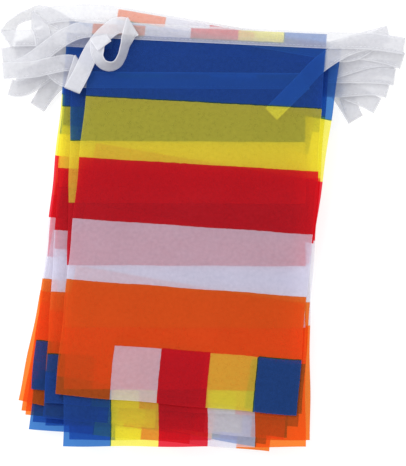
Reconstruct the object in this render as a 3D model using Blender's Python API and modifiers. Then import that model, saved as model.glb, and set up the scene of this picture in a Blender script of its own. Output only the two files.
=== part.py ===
"""A string of small five-colour flags on one white tape, lying folded in a stack.

Sixteen sheer flags hang from one long tape. The string lies folded back and forth,
so every second flag shows its back, and the spare tape between two flags makes a
loop at the left or the right of the stack. The first flag is the top one. Its free
tape end crosses over its own top edge and curls there, and the first loop of spare
tape is tucked under it.

Frame: metres, +Z up. X runs across the flags, +Y towards the tape, and the origin is
at the middle of the bottom of the whole stack. The picture side is seen from +Z.
"""

import math
from typing import NamedTuple

import bmesh
import bpy
from mathutils import Vector

# Flags
FLAG_WIDTH = 0.140
SEAM_DRAW = 0.035
SIDE_FLARE = math.radians(1.4)
CLOTH = 0.0010
FLAG_CELLS_ACROSS = 8
FLAG_CELLS_DOWN = 12

# Tape, folded lengthwise over the flags' top edges
TAPE_WIDTH = 0.0096
TAPE_THICK = 0.0010
SEAM_GAP = 0.0004

# The stack: one level for each flag, level 1 on top, and two for the tape that is
# tucked under the top flag, which sags beyond it
TUCK_LEVELS = 2
LEVELS = 16 + TUCK_LEVELS
SAG_FROM = 0.046
SAG_TO = 0.018
PITCH = 0.0014
SWELL = 0.0018
PUFF = 0.20
PUFF_FROM = 0.082
PUFF_TO = 0.114

# How finely the tape is followed
RUN_STEPS = 6
LOOP_STEPS = 7
FOLD_STEPS = 5
TAIL_STEPS = 3
LOOP_REACH = 0.36

# The middle of the stack's box, in the frame that the tables use
MIDDLE_X = -0.00067
MIDDLE_Y = 0.00043

WHITE_TAPE = (0.86, 0.86, 0.90)
FRONT_BLUE = (0.025, 0.085, 0.36)
BACK_ORANGE = (0.72, 0.13, 0.015)


class Flag(NamedTuple):
    """Where a flag lies: its top left corner, how its edges run, and their lengths."""

    left: float
    top: float
    top_deg: float
    side_deg: float
    drop_left: float
    drop_right: float
    drawn: float = SEAM_DRAW


class Via(NamedTuple):
    """A place that the tape passes: how far above its level, and its roll."""

    x: float
    y: float
    lift: float = 0.0
    roll_deg: float = 0.0


class Loop(NamedTuple):
    """Where a tape loop is folded back, and what it passes on its way out and back."""

    x: float
    y: float
    arrive_deg: float
    leave_deg: float
    out: tuple = ()
    back: tuple = ()


# A row for each flag, from the top of the stack down. The odd ones show their front.
FLAGS = (
    Flag(-0.0645, 0.1100, 2.7, 5.2, 0.2065, 0.2120),
    Flag(-0.0765, 0.0810, 0.4, 0.6, 0.2065, 0.2060),
    Flag(-0.0505, 0.1186, 9.8, 8.8, 0.2060, 0.2060, 0.0643),
    Flag(-0.0795, 0.1050, 3.5, 2.8, 0.2060, 0.2060),
    Flag(-0.0620, 0.1055, 3.0, 5.2, 0.2050, 0.2060),
    Flag(-0.0790, 0.0960, 5.0, 3.2, 0.2055, 0.2065),
    Flag(-0.0725, 0.0965, 5.0, 4.6, 0.2050, 0.2060),
    Flag(-0.0785, 0.1120, 6.0, 5.3, 0.2060, 0.2060),
    Flag(-0.0660, 0.1025, 11.0, 10.9, 0.2060, 0.2065),
    Flag(-0.0800, 0.0890, 5.2, 5.2, 0.2060, 0.2065),
    Flag(-0.0760, 0.0965, 7.0, 6.9, 0.2060, 0.2060),
    Flag(-0.0735, 0.0840, 0.0, 0.6, 0.2065, 0.2065),
    Flag(-0.0645, 0.1020, 5.0, 5.0, 0.2055, 0.2060),
    Flag(-0.0770, 0.0915, 2.0, 3.4, 0.2060, 0.2060),
    Flag(-0.0690, 0.0975, 5.5, 9.6, 0.2065, 0.2060),
    Flag(-0.0740, 0.0940, 3.5, 6.4, 0.2080, 0.2065),
)

# From the top flag's right end to the second flag's: out, back and tucked under the top
# flag. It is folded over between one line and the next.
FIRST_LOOP = (
    (Via(0.0958, 0.1082), Via(0.1145, 0.1055)),
    (
        Via(0.1145, 0.1055),
        Via(0.0920, 0.1075),
        Via(0.0700, 0.0970),
        Via(0.0550, 0.0825),
        Via(0.0396, 0.0669),
    ),
    (Via(0.0396, 0.0669),),
)

# Each joins an odd flag to the even one below it, from the third flag down.
RIGHT_LOOPS = (
    Loop(0.1060, 0.1125, 16, 190),
    Loop(0.1140, 0.0975, 340, 165),
    Loop(0.1095, 0.0880, 352, 172),
    Loop(0.1060, 0.0810, 345, 165),
    Loop(0.1000, 0.0720, 332, 152),
    Loop(0.0880, 0.0645, 301, 121),
    Loop(0.1105, 0.0930, 350, 170),
)

# Each joins an even flag to the odd one below it. The second one stands open.
LEFT_LOOPS = (
    Loop(-0.0985, 0.1205, 150, 24, (Via(-0.0890, 0.0955),), (Via(-0.0780, 0.1248),)),
    Loop(
        -0.1137,
        0.1102,
        180,
        68,
        back=(
            Via(-0.1112, 0.1158, 0.0, 16),
            Via(-0.1065, 0.1199, 0.0, 26),
            Via(-0.0995, 0.1230, 0.0, 8),
        ),
    ),
    Loop(-0.1155, 0.1000, 188, 8),
    Loop(-0.1080, 0.1040, 183, 3),
    Loop(-0.1115, 0.0820, 158, 348),
    Loop(-0.0960, 0.0715, 236, 56),
    Loop(-0.1080, 0.0880, 184, 4),
)

# The free end of the top flag's tape, from its cut end to the flag. It is folded over
# between one line and the next: flap, curl, crossing, bight and arm.
TAIL = (
    (Via(-0.0568, 0.1050, 0.0055), Via(-0.0602, 0.1099, 0.0030)),
    (
        Via(-0.0602, 0.1099, 0.0030),
        Via(-0.0614, 0.1035, 0.0030, 8),
        Via(-0.0603, 0.0975, 0.0036, 24),
        Via(-0.0560, 0.0930, 0.0036, 46),
        Via(-0.0505, 0.0935, 0.0032, 56),
        Via(-0.0471, 0.0987, 0.0028, 56),
        Via(-0.0453, 0.1050, 0.0022, 48),
        Via(-0.0433, 0.1105, 0.0010, 24),
        Via(-0.0412, 0.1163),
    ),
    (
        Via(-0.0412, 0.1163),
        Via(-0.0491, 0.1172),
        Via(-0.0551, 0.1137, 0.0, 14),
        Via(-0.0609, 0.1079, 0.0, 20),
        Via(-0.0649, 0.1016, 0.0006, 16),
        Via(-0.0678, 0.0952, 0.0008, 4),
        Via(-0.0707, 0.0889, 0.0004),
        Via(-0.0754, 0.0804),
    ),
    (Via(-0.0754, 0.0804), Via(-0.0735, 0.0872), Via(-0.0712, 0.0945)),
    (
        Via(-0.0712, 0.0945),
        Via(-0.0788, 0.0958),
        Via(-0.0897, 0.0938),
        Via(-0.0990, 0.0918),
        Via(-0.1145, 0.0910),
    ),
)
TAIL_TURN_DEG = 186
BOTTOM_END_X = -0.1010
BOTTOM_END_Y = 0.0890


def bump(x, y, centre_x, centre_y, reach_x, reach_y):
    """One soft hill of height 1."""
    return math.exp(-(((x - centre_x) / reach_x) ** 2) - ((y - centre_y) / reach_y) ** 2)


def swell(x, y):
    """How the loose stack rises here, from 0 to about 1."""
    return (
        0.70 * bump(x, y, 0.040, 0.030, 0.055, 0.060)
        + 0.45 * bump(x, y, -0.050, -0.040, 0.045, 0.065)
        + 0.40 * bump(x, y, 0.030, -0.100, 0.065, 0.045)
    )


def smooth_step(value, low, high):
    """0 below low, 1 above high, and an even rise between."""
    t = min(max((value - low) / (high - low), 0.0), 1.0)
    return t * t * (3.0 - 2.0 * t)


def height(level, x, y):
    """The middle of the cloth on a level, which never meets the level above or below."""
    below = LEVELS - level
    return CLOTH / 2 + below * PITCH + SWELL * below / LEVELS * swell(x, y)


def level_of(number):
    """The level of a flag."""
    return number if number == 1 else number + TUCK_LEVELS


def flag_height(number, x, y):
    """The middle of a flag's cloth. The top one sags beyond the tucked tape."""
    sag = TUCK_LEVELS * smooth_step(SAG_FROM - y, 0.0, SAG_FROM - SAG_TO)
    return height(level_of(number) + (sag if number == 1 else 0.0), x, y)


def loop_height(level, x, y):
    """The middle of the tape on a level, where the loops stand looser than the stack."""
    loose = smooth_step(abs(x), PUFF_FROM, PUFF_TO) * PUFF * (LEVELS - level) * PITCH
    return height(level, x, y) + loose


def turned(degrees):
    """The plan direction at an angle from +X."""
    return Vector((math.cos(math.radians(degrees)), math.sin(math.radians(degrees))))


def left_of(direction):
    """The plan direction a quarter turn to the left."""
    return Vector((-direction.y, direction.x))


def corners(flag):
    """The flag's four corners in plan: top left, top right, bottom right, bottom left."""
    side = math.radians(flag.side_deg)
    top_left = Vector((flag.left, flag.top))
    top_right = top_left + turned(-flag.top_deg) * FLAG_WIDTH * (1 - flag.drawn)
    lean_left, lean_right = side + SIDE_FLARE / 2, side - SIDE_FLARE / 2
    left_edge = Vector((math.sin(lean_left), math.cos(lean_left))) * flag.drop_left
    right_edge = Vector((math.sin(lean_right), math.cos(lean_right))) * flag.drop_right
    bottom_left, bottom_right = top_left - left_edge, top_right - right_edge
    return top_left, top_right, bottom_right, bottom_left


def tape_ends(flag):
    """The ends of the tape's middle line along a flag's top edge: left, then right."""
    top_left, top_right, _, _ = corners(flag)
    along = (top_right - top_left).normalized()
    up = left_of(along) * (SEAM_GAP + TAPE_WIDTH / 2)
    return top_left + up, top_right + up, along


def cubic(start, start_way, end, end_way, steps):
    """Plan points from start to end that leave and arrive in the given directions."""
    reach = (end - start).length * LOOP_REACH
    first, second = start + start_way * reach, end - end_way * reach
    points = []
    for k in range(steps + 1):
        t = k / steps
        s = 1 - t
        points.append(
            start * s**3 + first * 3 * s * s * t + second * 3 * s * t * t + end * t**3
        )
    return points


def bend_through(vias, start_way, end_way, steps):
    """A smooth line through the places: (plan point, lift, roll in degrees) of each step."""
    spots = [Vector((v.x, v.y)) for v in vias]
    ways = [start_way]
    ways += [(after - before).normalized() for before, after in zip(spots, spots[2:])]
    ways.append(end_way)
    line = []
    for k in range(len(vias) - 1):
        points = cubic(spots[k], ways[k], spots[k + 1], ways[k + 1], steps)
        for j, point in enumerate(points[:-1]):
            share = smooth_step(j, 0, steps)
            lift = vias[k].lift + (vias[k + 1].lift - vias[k].lift) * share
            roll = vias[k].roll_deg + (vias[k + 1].roll_deg - vias[k].roll_deg) * share
            line.append((point, lift, roll))
    line.append((spots[-1], vias[-1].lift, vias[-1].roll_deg))
    return line


def way_between(start, end):
    """The plan direction from one place to another."""
    return Vector((end.x - start.x, end.y - start.y)).normalized()


def fold_reach(way, fold):
    """How far a slanting fold reaches along the tape from its middle."""
    if fold is None:
        return 0.0
    return TAPE_WIDTH / 2 * abs(way.dot(fold) / left_of(way).dot(fold)) + TAPE_THICK / 2


class Ribbon:
    """The two edges of the tape, point by point, as it runs and is folded over."""

    def __init__(self):
        self.edges = []
        self.side = 1.0

    def sides(self, middle, across):
        """The plan places of the tape's two edges."""
        return middle + across * self.side, middle - across * self.side

    def add(self, middle, across, heights):
        """One step of the tape: its middle, the way to an edge, and its edges' heights."""
        places = self.sides(middle, across)
        self.edges.append([Vector((p.x, p.y, z)) for p, z in zip(places, heights)])

    def follow(self, line, level, start_fold=None, end_fold=None):
        """Lays the tape along (point, lift, roll) steps on one level, clear of folds."""
        last = len(line) - 1
        after_start = fold_reach(way_between(line[0][0], line[1][0]), start_fold)
        before_end = fold_reach(way_between(line[-2][0], line[-1][0]), end_fold)
        for k, (point, lift, roll_deg) in enumerate(line):
            near_start = (point - line[0][0]).length < after_start
            near_end = (point - line[last][0]).length < before_end
            if 0 < k < last and (near_start or near_end):
                continue
            way = (line[min(k + 1, last)][0] - line[max(k - 1, 0)][0]).normalized()
            across = left_of(way)
            fold = start_fold if k == 0 else end_fold if k == last else None
            roll = math.radians(roll_deg) * self.side
            if fold is not None:
                across = fold / fold.dot(across)
                roll = 0.0
            across = across * (TAPE_WIDTH / 2 * math.cos(roll))
            rise = TAPE_WIDTH / 2 * math.sin(roll)
            first, second = self.sides(point, across)
            high = loop_height(level, first.x, first.y) + lift + rise
            low = loop_height(level, second.x, second.y) + lift - rise
            self.add(point, across, (high, low))

    def fold_over(self, point, arrive, fold, level, lift=0.0):
        """Turns the tape over its fold line, from one level to the next."""
        outward = left_of(fold)
        if outward.dot(arrive) < 0:
            outward = -outward
        across = fold / fold.dot(left_of(arrive)) * (TAPE_WIDTH / 2)
        middles, radii = [], []
        for edge in self.sides(point, across):
            above = loop_height(level, edge.x, edge.y) + lift
            below = loop_height(level + 1, edge.x, edge.y) + lift
            middles.append((above + below) / 2)
            radii.append((above - below) / 2)
        for k in range(1, FOLD_STEPS):
            turn = math.pi * k / FOLD_STEPS
            place = point + outward * (sum(radii) / 2 * math.sin(turn))
            heights = [m + r * math.cos(turn) for m, r in zip(middles, radii)]
            self.add(place, across, heights)
        self.side = -self.side


def flat(points):
    """Plan points as steps with no lift and no roll."""
    return [(p, 0.0, 0.0) for p in points]


def flag_run(flag, leftwards):
    """The tape's steps along a flag's top edge."""
    left, right, _ = tape_ends(flag)
    start, end = (right, left) if leftwards else (left, right)
    return [start.lerp(end, k / RUN_STEPS) for k in range(RUN_STEPS + 1)]


def lay_folds(ribbon, lines, leave_way, level):
    """Lays lines of places, folded over after each; returns the last fold and level."""
    start_fold = None
    for k, vias in enumerate(lines):
        last = k + 1 == len(lines)
        arrive = way_between(vias[-2], vias[-1])
        leave = leave_way if last else way_between(*lines[k + 1][:2])
        line = bend_through(vias, way_between(*vias[:2]), arrive, TAIL_STEPS)
        fold = left_of(arrive - leave).normalized()
        ribbon.follow(line, level, start_fold, fold)
        ribbon.fold_over(line[-1][0], arrive, fold, level, vias[-1].lift)
        start_fold = fold
        level += 1
    return start_fold, level


def lay_tail(ribbon):
    """The free end, from its cut end to the top flag."""
    left, _, along = tape_ends(FLAGS[0])
    leave = turned(TAIL_TURN_DEG - 180)
    fold, level = lay_folds(ribbon, TAIL, leave, 1 - len(TAIL))
    start = Vector((TAIL[-1][-1].x, TAIL[-1][-1].y))
    back = cubic(start, leave, left, along, LOOP_STEPS)
    ribbon.follow(flat(back[:-1]), level, fold)


def lay_first_loop(ribbon):
    """The tape from the top flag to the second one; returns the fold at its end."""
    _, start, _ = tape_ends(FLAGS[0])
    _, end, along = tape_ends(FLAGS[1])
    out, back, up = FIRST_LOOP
    lines = ((Via(*start), *out), back, (*up, Via(*end)))
    fold, _ = lay_folds(ribbon, lines, -along, 1)
    return fold


def lay_loop(ribbon, start, start_way, loop, end, end_way, level):
    """A loop of spare tape: out on one level, folded over, and back on the next."""
    arrive, leave = turned(loop.arrive_deg), turned(loop.leave_deg)
    fold = turned((loop.arrive_deg + loop.leave_deg) / 2)
    far = Via(loop.x, loop.y)
    steps = [max(LOOP_STEPS // (len(vias) + 1), 4) for vias in (loop.out, loop.back)]
    out = bend_through((Via(*start), *loop.out, far), start_way, arrive, steps[0])
    ribbon.follow(out[1:], level, None, fold)
    ribbon.fold_over(out[-1][0], arrive, fold, level)
    back = bend_through((far, *loop.back, Via(*end)), leave, end_way, steps[1])
    ribbon.follow(back[:-1], level + 1, fold)


def lay_tape():
    """The whole tape as one ribbon, from the curled free end to the bottom one."""
    ribbon = Ribbon()
    lay_tail(ribbon)
    ribbon.follow(flat(flag_run(FLAGS[0], False)[:-1]), 1)
    start_fold = lay_first_loop(ribbon)
    for number, flag in enumerate(FLAGS[1:], start=2):
        leftwards = number % 2 == 0
        level = level_of(number)
        ribbon.follow(flat(flag_run(flag, leftwards)), level, start_fold)
        start_fold = None
        left, right, along = tape_ends(flag)
        start, start_way = (left, -along) if leftwards else (right, along)
        if number == len(FLAGS):
            end = Vector((BOTTOM_END_X, BOTTOM_END_Y))
            way = (end - start).normalized()
            ribbon.follow(flat(cubic(start, start_way, end, way, LOOP_STEPS)[1:]), level)
            continue
        next_left, next_right, next_along = tape_ends(FLAGS[number])
        end, end_way = (next_left, next_along) if leftwards else (next_right, -next_along)
        loop = LEFT_LOOPS[number // 2 - 1] if leftwards else RIGHT_LOOPS[number // 2 - 1]
        lay_loop(ribbon, start, start_way, loop, end, end_way, level)
    return ribbon.edges


def plain_material(name, colour, roughness):
    """A plain finish."""
    material = bpy.data.materials.new(name)
    material.use_nodes = True
    shader = material.node_tree.nodes["Principled BSDF"]
    shader.inputs["Base Color"].default_value = (*colour, 1.0)
    shader.inputs["Roughness"].default_value = roughness
    shader.inputs["Metallic"].default_value = 0.0
    return material


def sheet_object(name, across, down, place, thickness, material, collection):
    """An open grid whose points place() sets from (u, v), given its thickness."""
    grid = bmesh.new()
    bmesh.ops.create_grid(grid, x_segments=across, y_segments=down, size=0.5)
    for vertex in grid.verts:
        u = round((vertex.co.x + 0.5) * across)
        v = round((vertex.co.y + 0.5) * down)
        vertex.co = place(u, v) - Vector((MIDDLE_X, MIDDLE_Y, 0.0))
    mesh = bpy.data.meshes.new(name)
    grid.to_mesh(mesh)
    grid.free()
    mesh.shade_smooth()
    mesh.materials.append(material)
    sheet = bpy.data.objects.new(name, mesh)
    collection.objects.link(sheet)
    thick = sheet.modifiers.new("Thickness", "SOLIDIFY")
    thick.thickness = thickness
    thick.offset = 0.0
    return sheet


def build_flag(number, flag, collection):
    """One flag panel, cut from sheer printed cloth and lying on its level."""
    top_left, top_right, bottom_right, bottom_left = corners(flag)

    def place(u, v):
        across, up = u / FLAG_CELLS_ACROSS, v / FLAG_CELLS_DOWN
        low, high = bottom_left.lerp(bottom_right, across), top_left.lerp(top_right, across)
        point = low.lerp(high, up)
        return Vector((point.x, point.y, flag_height(number, point.x, point.y)))

    colour = FRONT_BLUE if number % 2 else BACK_ORANGE
    name = f"flag_{number:02d}"
    material = plain_material(f"{name}_cloth", colour, 0.6)
    sheet_object(
        name, FLAG_CELLS_ACROSS, FLAG_CELLS_DOWN, place, CLOTH, material, collection
    )


def build_tape(collection):
    """The whole tape, one closed strip."""
    edges = lay_tape()

    def place(u, v):
        return edges[v][u]

    material = plain_material("tape_cloth", WHITE_TAPE, 0.55)
    sheet_object("tape", 1, len(edges) - 1, place, TAPE_THICK, material, collection)


def main():
    """Clears the scene and builds the string."""
    for old in list(bpy.data.objects):
        bpy.data.objects.remove(old, do_unlink=True)
    collection = bpy.data.collections.new("flag_string")
    bpy.context.scene.collection.children.link(collection)
    for number, flag in enumerate(FLAGS, start=1):
        build_flag(number, flag, collection)
    build_tape(collection)


main()
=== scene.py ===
"""Looks of a string of small five-colour flags on one white tape, folded in a stack.

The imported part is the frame. Every flag panel becomes one sheet of sheer printed
cloth on the middle of its solid, and the tape becomes one strip of thin white cloth,
folded lengthwise round the flags' top edges, with its seam of small stitches.

The tables and the way the tape runs are those of the part's source, in metres.
"""

import logging
import math
from collections.abc import Callable, Iterable, Sequence
from dataclasses import dataclass, field
from enum import Enum

import bmesh
import bpy
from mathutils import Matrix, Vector


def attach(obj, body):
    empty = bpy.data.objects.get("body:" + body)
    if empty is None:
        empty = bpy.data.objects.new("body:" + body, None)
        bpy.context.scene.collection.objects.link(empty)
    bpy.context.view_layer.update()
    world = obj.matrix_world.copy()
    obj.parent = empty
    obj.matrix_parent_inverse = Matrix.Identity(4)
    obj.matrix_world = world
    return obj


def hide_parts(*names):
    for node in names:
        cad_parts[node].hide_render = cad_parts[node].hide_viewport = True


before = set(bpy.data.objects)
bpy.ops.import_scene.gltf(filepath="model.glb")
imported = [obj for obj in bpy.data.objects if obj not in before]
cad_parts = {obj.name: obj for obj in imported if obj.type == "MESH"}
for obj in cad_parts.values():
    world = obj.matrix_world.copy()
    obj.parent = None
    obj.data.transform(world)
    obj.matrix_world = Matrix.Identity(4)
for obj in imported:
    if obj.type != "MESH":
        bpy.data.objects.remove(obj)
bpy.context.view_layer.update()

log = logging.getLogger("flag_string")

Triple = tuple[float, float, float]
Colour = Triple
Socket = bpy.types.NodeSocket

# The middle of the stack's box, in the frame that the tables use
MIDDLE = Vector((-0.00067, 0.00043, 0.0))

# How many sheer layers a ray of light may pass, more than the stack has
PASSED_LAYERS = 48


class Face(Enum):
    """Which face of a flag is up."""

    FRONT = "front"
    BACK = "back"


@dataclass(frozen=True)
class FlagSpot:
    """Where a flag lies, how its edges run, and how its print was cut.

    Attributes:
        left: The top left corner's X.
        top: The top left corner's Y.
        top_deg: How far the top edge drops towards the right.
        side_deg: How far the sides lean to the left at the bottom.
        drop_left: The left edge's length below the tape.
        drop_right: The right edge's length below the tape.
        blue_under: How far the blue band reaches up under the tape.
        column_shift: How far the print's columns lie off the cut edge.
        drawn: The share of the width that the seam draws in.
        bow: How far the right edge bulges outward.
    """

    left: float
    top: float
    top_deg: float
    side_deg: float
    drop_left: float
    drop_right: float
    blue_under: float
    column_shift: float
    drawn: float = 0.035
    bow: float = 0.0

    @property
    def drop(self) -> float:
        """The flag's mean length below the tape."""
        return (self.drop_left + self.drop_right) / 2


@dataclass(frozen=True)
class Via:
    """A place that the tape passes: how far above its level, and its roll."""

    x: float
    y: float
    lift: float = 0.0
    roll_deg: float = 0.0


@dataclass(frozen=True)
class LoopSpot:
    """Where a tape loop is folded back, and what it passes on its way out and back."""

    x: float
    y: float
    arrive_deg: float
    leave_deg: float
    out: tuple[Via, ...] = ()
    back: tuple[Via, ...] = ()


# A row for each flag, from the top of the stack down. The odd ones show their front.
FLAG_SPOTS = (
    FlagSpot(-0.0645, 0.1100, 2.7, 5.2, 0.2065, 0.2120, 0.0025, 0.0027, bow=0.0017),
    FlagSpot(-0.0765, 0.0810, 0.4, 0.6, 0.2065, 0.2060, 0.0066, 0.0006),
    FlagSpot(-0.0505, 0.1186, 9.8, 8.8, 0.2060, 0.2060, 0.0025, 0.0012, drawn=0.0643),
    FlagSpot(-0.0795, 0.1050, 3.5, 2.8, 0.2060, 0.2060, 0.0025, 0.0008),
    FlagSpot(-0.0620, 0.1055, 3.0, 5.2, 0.2050, 0.2060, 0.0030, 0.0015),
    FlagSpot(-0.0790, 0.0960, 5.0, 3.2, 0.2055, 0.2065, 0.0006, -0.0095),
    FlagSpot(-0.0725, 0.0965, 5.0, 4.6, 0.2050, 0.2060, 0.0020, 0.0018),
    FlagSpot(-0.0785, 0.1120, 6.0, 5.3, 0.2060, 0.2060, 0.0025, 0.0006),
    FlagSpot(-0.0660, 0.1025, 11.0, 10.9, 0.2060, 0.2065, 0.0030, 0.0020),
    FlagSpot(-0.0800, 0.0890, 5.2, 5.2, 0.2060, 0.2065, 0.0028, -0.0095),
    FlagSpot(-0.0760, 0.0965, 7.0, 6.9, 0.2060, 0.2060, 0.0020, 0.0010),
    FlagSpot(-0.0735, 0.0840, 0.0, 0.6, 0.2065, 0.2065, 0.0040, 0.0014),
    FlagSpot(-0.0645, 0.1020, 5.0, 5.0, 0.2055, 0.2060, 0.0025, 0.0008),
    FlagSpot(-0.0770, 0.0915, 2.0, 3.4, 0.2060, 0.2060, 0.0030, 0.0016),
    FlagSpot(-0.0690, 0.0975, 5.5, 9.6, 0.2065, 0.2060, 0.0022, 0.0010),
    FlagSpot(-0.0740, 0.0940, 3.5, 6.4, 0.2080, 0.2065, 0.0028, 0.0012),
)

# From the top flag's right end to the second flag's: out, back and tucked under the top
# flag. It is folded over between one line and the next.
FIRST_LOOP = (
    (Via(0.0958, 0.1082), Via(0.1145, 0.1055)),
    (
        Via(0.1145, 0.1055),
        Via(0.0920, 0.1075),
        Via(0.0700, 0.0970),
        Via(0.0550, 0.0825),
        Via(0.0396, 0.0669),
    ),
    (Via(0.0396, 0.0669),),
)

# Each joins an odd flag to the even one below it, from the third flag down.
RIGHT_LOOPS = (
    LoopSpot(0.1060, 0.1125, 16, 190),
    LoopSpot(0.1140, 0.0975, 340, 165),
    LoopSpot(0.1095, 0.0880, 352, 172),
    LoopSpot(0.1060, 0.0810, 345, 165),
    LoopSpot(0.1000, 0.0720, 332, 152),
    LoopSpot(0.0880, 0.0645, 301, 121),
    LoopSpot(0.1105, 0.0930, 350, 170),
)

# Each joins an even flag to the odd one below it. The second one stands open.
LEFT_LOOPS = (
    LoopSpot(
        -0.0985, 0.1205, 150, 24, (Via(-0.0890, 0.0955),), (Via(-0.0780, 0.1248),)
    ),
    LoopSpot(
        -0.1137,
        0.1102,
        180,
        68,
        back=(
            Via(-0.1117, 0.1160, 0.0016, 44),
            Via(-0.1078, 0.1204, 0.0030, 60),
            Via(-0.1010, 0.1236, 0.0024, 52),
            Via(-0.0925, 0.1248, 0.0006, 18),
        ),
    ),
    LoopSpot(-0.1155, 0.1000, 188, 8),
    LoopSpot(-0.1080, 0.1040, 183, 3),
    LoopSpot(-0.1115, 0.0820, 158, 348),
    LoopSpot(-0.0960, 0.0715, 236, 56),
    LoopSpot(-0.1080, 0.0880, 184, 4),
)

# The free end of the top flag's tape, from its cut end to the flag. It is folded over
# between one line and the next: flap, curl, crossing, bight and arm.
TAIL = (
    (Via(-0.0568, 0.1050, 0.0055), Via(-0.0602, 0.1099, 0.0030)),
    (
        Via(-0.0602, 0.1099, 0.0030),
        Via(-0.0610, 0.1035, 0.0034, 34),
        Via(-0.0600, 0.0975, 0.0040, 52),
        Via(-0.0560, 0.0938, 0.0036, 58),
        Via(-0.0505, 0.0943, 0.0032, 62),
        Via(-0.0471, 0.0990, 0.0028, 62),
        Via(-0.0453, 0.1050, 0.0022, 60),
        Via(-0.0435, 0.1105, 0.0014, 44),
        Via(-0.0412, 0.1163),
    ),
    (
        Via(-0.0412, 0.1163),
        Via(-0.0491, 0.1172),
        Via(-0.0551, 0.1137, 0.0, 14),
        Via(-0.0609, 0.1079, 0.0, 20),
        Via(-0.0649, 0.1016, 0.0006, 16),
        Via(-0.0678, 0.0952, 0.0008, 4),
        Via(-0.0707, 0.0889, 0.0004),
        Via(-0.0754, 0.0804),
    ),
    (Via(-0.0754, 0.0804), Via(-0.0735, 0.0872), Via(-0.0712, 0.0945)),
    (
        Via(-0.0712, 0.0945),
        Via(-0.0788, 0.0958),
        Via(-0.0897, 0.0938),
        Via(-0.0990, 0.0918),
        Via(-0.1145, 0.0910),
    ),
)
TAIL_TURN_DEG = 186.0
BOTTOM_END = Vector((-0.1010, 0.0890))

# The loose stack's soft hills: the middle (X, Y) and height of each, and its reach
HILLS = (
    ((0.040, 0.030, 0.70), (0.055, 0.060)),
    ((-0.050, -0.040, 0.45), (0.045, 0.065)),
    ((0.030, -0.100, 0.40), (0.065, 0.045)),
)


def smooth_step(value: float, low: float, high: float) -> float:
    """Eases from 0 to 1.

    Args:
        value: The number to judge.
        low: Where the rise begins.
        high: Where the rise ends.

    Returns:
        0 below low, 1 above high, and an even rise between.
    """
    t = min(max((value - low) / (high - low), 0.0), 1.0)
    return t * t * (3.0 - 2.0 * t)


def bump(x: float, y: float, centre: Triple, reach: Sequence[float]) -> float:
    """One soft hill.

    Args:
        x: The place across.
        y: The place along.
        centre: The hill's middle (X, Y) and its height.
        reach: How far it reaches in X and in Y.

    Returns:
        The hill's height there.
    """
    dx = (x - centre[0]) / reach[0]
    dy = (y - centre[1]) / reach[1]
    return centre[2] * math.exp(-dx * dx - dy * dy)


def turned(degrees: float) -> Vector:
    """The plan direction at an angle from +X."""
    return Vector((math.cos(math.radians(degrees)), math.sin(math.radians(degrees))))


def left_of(direction: Vector) -> Vector:
    """The plan direction a quarter turn to the left."""
    return Vector((-direction.y, direction.x))


def way_between(start: Via, end: Via) -> Vector:
    """The plan direction from one place to another."""
    return Vector((end.x - start.x, end.y - start.y)).normalized()


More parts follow.
